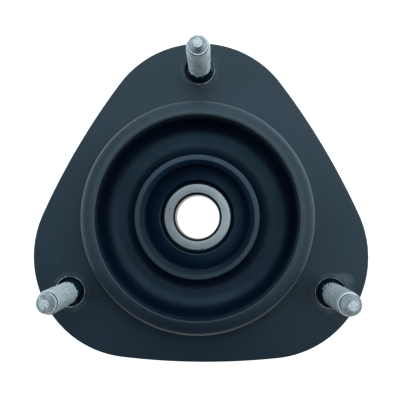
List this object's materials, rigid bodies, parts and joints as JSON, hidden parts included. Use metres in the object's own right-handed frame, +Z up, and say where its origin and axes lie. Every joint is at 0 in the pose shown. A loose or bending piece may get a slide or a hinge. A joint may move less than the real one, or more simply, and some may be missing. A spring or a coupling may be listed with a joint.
{
  "type": "strut mount",
  "caption": "Rounded triangular pressed-steel upper strut mount with studs on its corners, a rubber-isolated ball bearing in a raised round cup, and a deep flex groove.",
  "frame": {"origin": "on the damper's axis, level with the plate face that bolts against the suspension tower", "axes": "+Z up along the damper's axis and the studs, +Y towards the first stud, +X to the right seen from above"},
  "size_m": [0.1508, 0.1445, 0.0518],
  "materials": {
    "black_ecoat": "satin",
    "zinc_plated_steel": "zinc plated",
    "black_rubber": "satin",
    "phosphated_steel": "matt",
    "ground_steel": "ground",
    "polished_steel": "polished",
    "cage_steel": "pressed",
    "seal_rubber": "matt"
  },
  "bodies": {
    "mount": {"upper_plate": "black_ecoat", "lower_plate": "black_ecoat", "stud_1": "zinc_plated_steel", "stud_2": "zinc_plated_steel", "stud_3": "zinc_plated_steel", "rubber_isolator": "black_rubber", "bearing_housing": "phosphated_steel", "bearing_retainer": "phosphated_steel", "bearing_outer_ring": "ground_steel", "upper_seal": "seal_rubber", "lower_seal": "seal_rubber"},
    "inner_ring": {"bearing_inner_ring": "ground_steel"},
    "cage": {"cage_upper_half": "cage_steel", "cage_lower_half": "cage_steel", "cage_rivets": "cage_steel"},
    "ball_1": {"ball_1": "polished_steel"},
    "ball_2": {"ball_2": "polished_steel"},
    "ball_3": {"ball_3": "polished_steel"},
    "ball_4": {"ball_4": "polished_steel"},
    "ball_5": {"ball_5": "polished_steel"},
    "ball_6": {"ball_6": "polished_steel"},
    "ball_7": {"ball_7": "polished_steel"},
    "ball_8": {"ball_8": "polished_steel"}
  },
  "joints": [
    {"name": "inner_ring_turn", "type": "hinge", "parent": "mount", "child": "inner_ring", "pos_m": [0, 0, -0.0055], "axis": [0, 0, 1], "continuous": true},
    {"name": "cage_turn", "type": "hinge", "parent": "mount", "child": "cage", "pos_m": [0, 0, -0.0055], "axis": [0, 0, 1], "continuous": true},
    {"name": "ball_1_roll", "type": "hinge", "parent": "cage", "child": "ball_1", "pos_m": [0.017, 0, -0.0055], "axis": [0, 0, 1], "continuous": true},
    {"name": "ball_2_roll", "type": "hinge", "parent": "cage", "child": "ball_2", "pos_m": [0.01202, 0.01202, -0.0055], "axis": [0, 0, 1], "continuous": true},
    {"name": "ball_3_roll", "type": "hinge", "parent": "cage", "child": "ball_3", "pos_m": [0, 0.017, -0.0055], "axis": [0, 0, 1], "continuous": true},
    {"name": "ball_4_roll", "type": "hinge", "parent": "cage", "child": "ball_4", "pos_m": [-0.01202, 0.01202, -0.0055], "axis": [0, 0, 1], "continuous": true},
    {"name": "ball_5_roll", "type": "hinge", "parent": "cage", "child": "ball_5", "pos_m": [-0.017, 0, -0.0055], "axis": [0, 0, 1], "continuous": true},
    {"name": "ball_6_roll", "type": "hinge", "parent": "cage", "child": "ball_6", "pos_m": [-0.01202, -0.01202, -0.0055], "axis": [0, 0, 1], "continuous": true},
    {"name": "ball_7_roll", "type": "hinge", "parent": "cage", "child": "ball_7", "pos_m": [0, -0.017, -0.0055], "axis": [0, 0, 1], "continuous": true},
    {"name": "ball_8_roll", "type": "hinge", "parent": "cage", "child": "ball_8", "pos_m": [0.01202, -0.01202, -0.0055], "axis": [0, 0, 1], "continuous": true}
  ],
  "couplings": [
    {"joint": "cage_turn", "follows": "inner_ring_turn", "ratio": 0.38327},
    {"joint": "ball_1_roll", "follows": "inner_ring_turn", "ratio": -2.0249},
    {"joint": "ball_2_roll", "follows": "inner_ring_turn", "ratio": -2.0249},
    {"joint": "ball_3_roll", "follows": "inner_ring_turn", "ratio": -2.0249},
    {"joint": "ball_4_roll", "follows": "inner_ring_turn", "ratio": -2.0249},
    {"joint": "ball_5_roll", "follows": "inner_ring_turn", "ratio": -2.0249},
    {"joint": "ball_6_roll", "follows": "inner_ring_turn", "ratio": -2.0249},
    {"joint": "ball_7_roll", "follows": "inner_ring_turn", "ratio": -2.0249},
    {"joint": "ball_8_roll", "follows": "inner_ring_turn", "ratio": -2.0249}
  ]
}
